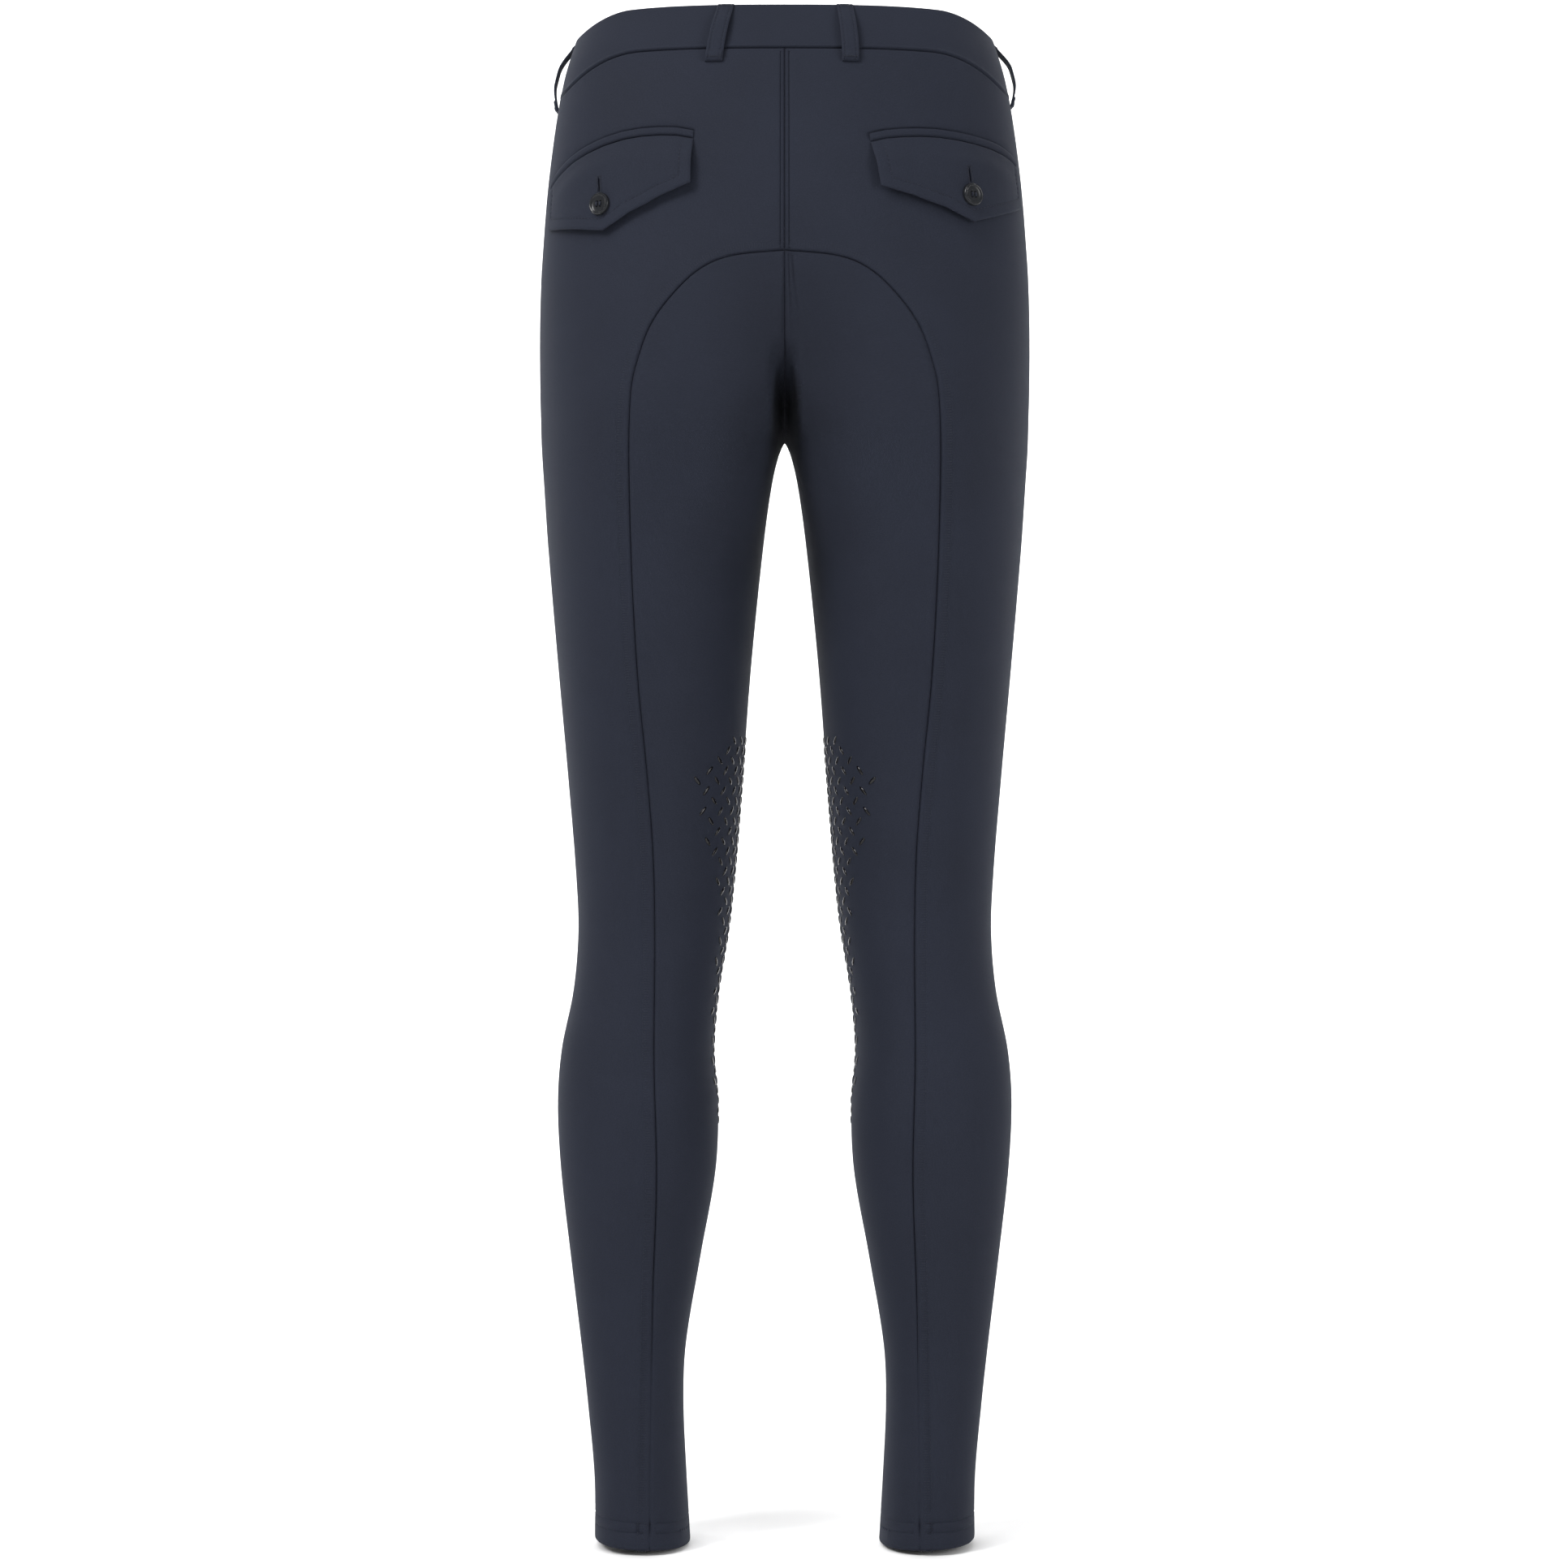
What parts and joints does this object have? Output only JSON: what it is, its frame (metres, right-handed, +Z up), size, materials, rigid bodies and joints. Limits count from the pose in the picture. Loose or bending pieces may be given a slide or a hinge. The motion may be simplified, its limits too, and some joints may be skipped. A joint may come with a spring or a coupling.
{
  "type": "riding breeches",
  "caption": "Riding breeches in worn form: seat and inner-leg panels, waistband with belt loops, buttoned flap pockets at the back, open waist and hems.",
  "frame": {"origin": "middle of the waist opening, level with the waistband's top edge at the hips", "axes": "+Z up the body, +Y towards the wearer's front, +X towards the wearer's right, so the back that carries the pockets faces -Y"},
  "size_m": [0.3302, 0.2417, 1.0239],
  "materials": {
    "breeches_cloth": "matt stretch cloth, dark navy",
    "button_horn": "dark satin"
  },
  "bodies": {
    "root": {"front_left": "breeches_cloth", "front_right": "breeches_cloth", "back_left": "breeches_cloth", "back_right": "breeches_cloth", "seat_leg_left": "breeches_cloth", "seat_leg_right": "breeches_cloth", "waistband": "breeches_cloth", "belt_loop_back_left": "breeches_cloth", "belt_loop_back_right": "breeches_cloth", "belt_loop_side_left": "breeches_cloth", "belt_loop_side_right": "breeches_cloth", "belt_loop_front_left": "breeches_cloth", "belt_loop_front_right": "breeches_cloth", "pocket_flap_left": "breeches_cloth", "pocket_flap_right": "breeches_cloth", "pocket_welt_left": "breeches_cloth", "pocket_welt_right": "breeches_cloth", "pocket_button_left": "button_horn", "pocket_button_right": "button_horn", "waist_button": "button_horn"}
  },
  "joints": []
}
